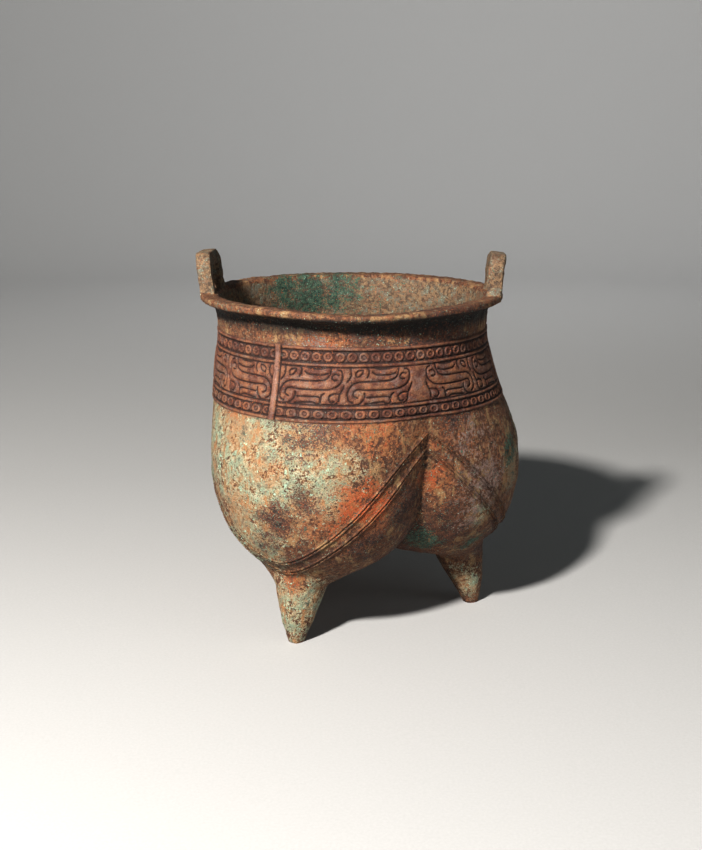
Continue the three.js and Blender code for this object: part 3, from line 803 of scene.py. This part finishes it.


# Tones of the patina, and of painted shade, shadow and highlight, in linear light
DARK_BROWN, BROWN = (0.085, 0.042, 0.028), (0.22, 0.105, 0.055)
OCHRE = (0.28, 0.18, 0.095)
TAN, SAGE = (0.32, 0.22, 0.12), (0.25, 0.275, 0.195)
VERDIGRIS = (0.23, 0.3, 0.225)
CREAM = (0.42, 0.4, 0.3)
AMBER, RUSTY = (0.31, 0.16, 0.075), (0.31, 0.15, 0.065)
UMBER = (0.17, 0.12, 0.075)
ORANGE, LIGHT_ORANGE = (0.33, 0.095, 0.036), (0.3, 0.15, 0.066)
ORANGE_SHADE = (0.14, 0.06, 0.035)
RED, BRICK = (0.38, 0.095, 0.034), (0.28, 0.115, 0.048)
BLACK_BROWN, DARK_RED_BROWN = (0.035, 0.025, 0.023), (0.12, 0.052, 0.034)
RED_BROWN = (0.2, 0.085, 0.04)
GREY_BROWN, WARM_GREY = (0.13, 0.085, 0.07), (0.24, 0.165, 0.14)
DEEP_GREEN, MOSS = (0.02, 0.048, 0.037), (0.07, 0.115, 0.08)
CUPRITE, LIGHT_CUPRITE = (0.095, 0.035, 0.025), (0.18, 0.075, 0.046)
DULL_CUPRITE = (0.14, 0.085, 0.074)
# The second tone is a painted highlight in front, and polish from wear at the back
BARE_METAL, POLISH_AND_HIGHLIGHT = (0.3, 0.15, 0.11), (0.46, 0.3, 0.24)
WORN_EDGE = (0.34, 0.19, 0.09)
# Painted shade for the frieze's cut lines and the ridges' hollows
GROOVE_PAINTED_SHADE, RIDGE_PAINTED_SHADE = (0.022, 0.012, 0.011), (0.05, 0.025, 0.018)
# Painted shade for the crotches, and the lip's painted shadow
CROTCH_PAINTED_SHADE, PAINTED_LIP_SHADOW = (0.03, 0.018, 0.015), (0.008, 0.009, 0.009)
SCALE, LIGHT_SCALE = (0.1, 0.07, 0.05), (0.26, 0.175, 0.105)
GREY_SCALE, RED_SCALE = (0.17, 0.16, 0.125), (0.2, 0.115, 0.075)
MINT, RUST = (0.36, 0.52, 0.41), (0.38, 0.125, 0.045)
SOOT, PIT_DIRT = (0.035, 0.024, 0.02), (0.06, 0.036, 0.028)


def bronze():
    t = Tree("bronze_patina")
    t.warp(9, 1.8)
    broad, patch = t.noise(22, 5), t.noise(7, 7, 0.68)
    spot, speck = t.noise(1.8, 5, 0.7), t.noise(0.75, 3, 0.6)
    grain = t.noise(0.38, 2, warped=False)
    streak = t.noise(5, 5, 0.65, stretch=(1, 1, 0.45))
    cloud = t.noise(4.2, 7, 0.72, stretch=(0.9, 1.1, 1.2))
    outside, relief = t.attribute("outside"), t.attribute("relief")
    frieze, ridge, pits = t.attribute("frieze"), t.attribute("ridge"), t.attribute("pits")
    spots = t.step(spot, 0.42, 0.58)

    def patina(name, low, high):
        """Where a patch of patina lies, with its edge broken up by the noises."""
        total = t.total((t.attribute(name), 0.6, 0.0), (broad, 0.8, 0.5), (patch, 2.0, 0.5),
                        (spot, 1.6, 0.5), (speck, 1.6, 0.5))
        return t.step(total, low, high)

    base = t.mix(spots, DARK_BROWN, BROWN)
    base = t.mix(t.step(streak, 0.52, 0.62), base, OCHRE)
    pale = t.mix(t.step(patch, 0.42, 0.58), TAN, SAGE)
    pale = t.mix(t.step(cloud, 0.5, 0.62), pale, VERDIGRIS)
    pale = t.over(pale, CREAM, t.step(spot, 0.5, 0.64), 0.8)
    pale = t.over(pale, AMBER, t.step(broad, 0.48, 0.6), 0.5)
    pale = t.over(pale, RUSTY, t.step(streak, 0.54, 0.64), 0.8)
    pale = t.over(pale, UMBER, t.step(spot, 0.43, 0.33), 0.4)
    colour = t.mix(patina("pale", 0.28, 0.5), base, pale)
    orange = t.mix(spots, ORANGE, LIGHT_ORANGE)
    orange = t.mix(t.step(cloud, 0.56, 0.64), orange, ORANGE_SHADE)
    colour = t.mix(patina("orange", 0.34, 0.56), colour, orange)
    red = t.mix(t.step(spot, 0.44, 0.6), RED, BRICK)
    colour = t.mix(patina("red", 0.34, 0.54), colour, red)
    dark = t.mix(spots, BLACK_BROWN, DARK_RED_BROWN)
    dark = t.mix(t.step(cloud, 0.57, 0.64), dark, RED_BROWN)
    colour = t.mix(patina("dark", 0.26, 0.48), colour, dark)
    grey = t.mix(spots, GREY_BROWN, WARM_GREY)
    colour = t.mix(patina("grey", 0.32, 0.6), colour, grey)
    green = t.mix(spots, DEEP_GREEN, MOSS)
    colour = t.mix(patina("deep_green", 0.38, 0.58), colour, green)

    # The frieze: red-brown cuprite, bare pinkish tops with a painted highlight in front, worn edges and
    # cut lines darkened with painted shade
    cuprite = t.mix(t.step(patch, 0.42, 0.6), CUPRITE, LIGHT_CUPRITE)
    cuprite = t.mix(t.step(cloud, 0.5, 0.6), cuprite, DULL_CUPRITE)
    covered = t.step(t.total((broad, 1.0, 0), (patch, 0.6, 0.5)), 0.2, 0.4)
    colour = t.over(colour, cuprite, frieze, covered, 0.88)
    tops = t.product(t.step(relief, 0.72, 0.92), frieze)
    colour = t.over(colour, BARE_METAL, tops, t.step(cloud, 0.42, 0.62), 0.42)
    # Painted highlight on the frieze's tops in front; the patch at the back is polish from wear
    colour = t.over(colour, POLISH_AND_HIGHLIGHT, tops, t.attribute("wear_and_highlight"), 0.6)
    edges = t.product(t.step(relief, 0.5, 0.64), t.step(relief, 0.9, 0.74))
    colour = t.over(colour, WORN_EDGE, edges, frieze, t.step(patch, 0.44, 0.56), 0.22)
    # Painted shade in the cut lines of the frieze
    colour = t.over(colour, GROOVE_PAINTED_SHADE, frieze, t.step(relief, 0.5, 0.18), 0.88)

    # Painted shade between the threads of the ridges and in the crotches, and the lip's painted shadow
    # under the lip
    # Painted shade in the hollows between the threads of each ridge
    colour = t.over(colour, RIDGE_PAINTED_SHADE, ridge, t.step(relief, 0.5, 0.1), 0.75)
    # Painted shade along the crotches, broken up by spots
    colour = t.over(colour, CROTCH_PAINTED_SHADE, t.attribute("crease_shade"), t.step(spot, 0.64, 0.42), 0.8)
    # The lip's shadow, painted near-black on the neck under the lip
    colour = t.over(colour, PAINTED_LIP_SHADOW, t.attribute("under"), 0.93)

    # Inside: brown scale with dark green
    lining = t.mix(t.step(spot, 0.4, 0.6), SCALE, LIGHT_SCALE)
    lining = t.mix(t.step(cloud, 0.5, 0.6), lining, GREY_SCALE)
    lining = t.over(lining, RED_SCALE, t.step(patch, 0.52, 0.64), 0.7)
    lining = t.mix(patina("deep_green", 0.34, 0.54), lining, green)
    colour = t.mix(t.step(outside, 0.5, 0.2), colour, lining)

    # Specks, pits and grain over all of it
    mint = t.product(t.step(speck, 0.62, 0.68), t.step(cloud, 0.46, 0.54))
    crust = t.product(t.step(t.noise(3.0, 4, 0.62), 0.63, 0.68), t.attribute("pale"))
    less_in_band = t.math("SUBTRACT", 0.8, t.product(frieze, 0.6))
    colour = t.over(colour, MINT, t.math("MAXIMUM", mint, crust), less_in_band)
    colour = t.over(colour, RUST, t.step(speck, 0.4, 0.33), t.step(broad, 0.42, 0.52), 0.7)
    colour = t.over(colour, SOOT, t.step(speck, 0.43, 0.36), t.step(broad, 0.54, 0.44), 0.75)
    colour = t.over(colour, PIT_DIRT, pits, 0.55)
    shade = t.remap(grain, 0.3, 0.7, 0.62, 1.3)
    even = t.add("CombineColor", {0: shade, 1: shade, 2: shade}).outputs[0]
    t.put(t.shader.inputs["Base Color"], t.mix(1.0, colour, even, "MULTIPLY"))

    # The tops of the frieze are the smoothest
    rough = t.math("SUBTRACT", t.remap(patch, 0.35, 0.65, 0.8, 0.6), t.product(tops, 0.34))
    t.put(t.shader.inputs["Roughness"], rough)
    t.put(t.shader.inputs["Specular IOR Level"], t.math("ADD", t.product(tops, 0.45), 0.4))
    height = t.total((patch, 0.5, 0), (spot, 0.5, 0), (speck, 0.32, 0), (grain, 0.14, 0))
    bump = t.add("Bump", {"Height": height, "Strength": 0.8, "Distance": 1.5 * MM})
    t.put(t.shader.inputs["Normal"], bump.outputs[0])
    t.shader.inputs["Metallic"].default_value = 0.12
    return t.material


vessel.data.materials.clear()
vessel.data.materials.append(bronze())
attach(vessel, "root")
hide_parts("vessel")


FLOOR_RADIUS, FLOOR_CURVE, WALL_RADIUS, WALL_HEIGHT = 1.4, 0.9, 2.32, 2.6
FLOOR_TONES = (0.38, 0.38, 0.38), (0.44, 0.44, 0.44)


def studio():
    """A pale round floor that curves up far from the vessel, on every side."""
    profile = [(0.6, 0.0), (FLOOR_RADIUS, 0.0)]
    for a in np.linspace(0.1, 1.45, 14):
        out, up = FLOOR_CURVE * math.sin(a), FLOOR_CURVE * math.cos(a)
        profile.append((FLOOR_RADIUS + out, FLOOR_CURVE - up))
    profile += [(WALL_RADIUS, 1.6), (WALL_RADIUS, WALL_HEIGHT)]
    sides = 96
    points = [(0.0, 0.0, 0.0)]
    faces = []
    for radius, height in profile:
        for k in range(sides):
            a = 2 * math.pi * k / sides
            points.append((radius * math.cos(a), radius * math.sin(a), height))
    for k in range(sides):
        faces.append((0, 1 + k, 1 + (k + 1) % sides))
    for ring in range(len(profile) - 1):
        low, high = 1 + ring * sides, 1 + (ring + 1) * sides
        for k in range(sides):
            n = (k + 1) % sides
            faces.append((low + k, high + k, high + n, low + n))
    mesh = bpy.data.meshes.new("floor")
    mesh.from_pydata(points, [], faces)
    mesh.shade_smooth()
    floor = bpy.data.objects.new("floor", mesh)
    bpy.context.scene.collection.objects.link(floor)
    t = Tree("pale_floor")
    t.warp(40, 2)
    t.put(t.shader.inputs["Base Color"], t.mix(t.noise(1.2, 3), *FLOOR_TONES))
    t.shader.inputs["Roughness"].default_value = 0.9
    mesh.materials.append(t.material)


def area_light(name, place, aim, size, power, colour):
    data = bpy.data.lights.new(name, "AREA")
    data.shape, data.size, data.energy, data.color = "DISK", size, power, colour
    lamp = bpy.data.objects.new(name, data)
    lamp.location = place
    lamp.rotation_euler = (Vector(aim) - Vector(place)).to_track_quat("-Z", "Y").to_euler()
    lamp.visible_camera = False
    bpy.context.scene.collection.objects.link(lamp)


# Name, place, aim, diameter in metres, watts and colour; the first gives the photograph's shadow
LIGHTS = [
    ("key", (-0.484, -0.91, 0.891), (0, 0, 0.1), 0.12, 36, (1.0, 0.965, 0.92)),
    ("fill", (1.1, -1.0, 0.7), (0, 0, 0.08), 1.2, 1.2, (0.85, 0.97, 1.0)),
    ("edge", (1.25, -0.35, 0.35), (0, 0, 0.06), 0.7, 1.2, (0.92, 0.98, 1.0)),
    ("back", (0.3, 0.9, 1.2), (0, 2.2, 0.6), 0.9, 10, (1.0, 1.0, 1.0)),
]
SKY_COLOUR, SKY_STRENGTH = (0.7, 0.86, 0.88, 1), 0.06

studio()
for light in LIGHTS:
    area_light(*light)
world = bpy.data.worlds.new("studio")
world.use_nodes = True
sky = world.node_tree.nodes["Background"].inputs
sky["Color"].default_value = SKY_COLOUR
sky["Strength"].default_value = SKY_STRENGTH
bpy.context.scene.world = world

# The photograph's view, in a frame of 702 by 850 pixels
FOCAL_PX, FRAME_PX = 1235.0, 850
SHIFT_PX = (-2.5, 12.1)
GAMMA, EXPOSURE = 0.77, 0.36
CAMERA = Vector((-3.5, -617.1, 250.05)) * MM
TARGET = Vector((-3.5, 0.0, 90.0)) * MM
lens = bpy.data.cameras.new("camera")
lens.sensor_width = 36.0
lens.lens = FOCAL_PX * lens.sensor_width / FRAME_PX
lens.shift_x, lens.shift_y = SHIFT_PX[0] / FRAME_PX, SHIFT_PX[1] / FRAME_PX
lens.clip_start, lens.clip_end = 0.01, 20
camera = bpy.data.objects.new("camera", lens)
camera.location = CAMERA
camera.rotation_euler = (TARGET - CAMERA).to_track_quat("-Z", "Y").to_euler()
bpy.context.scene.collection.objects.link(camera)
bpy.context.scene.camera = camera
bpy.context.scene.view_settings.view_transform = "Standard"
bpy.context.scene.view_settings.gamma = GAMMA
bpy.context.scene.view_settings.exposure = EXPOSURE
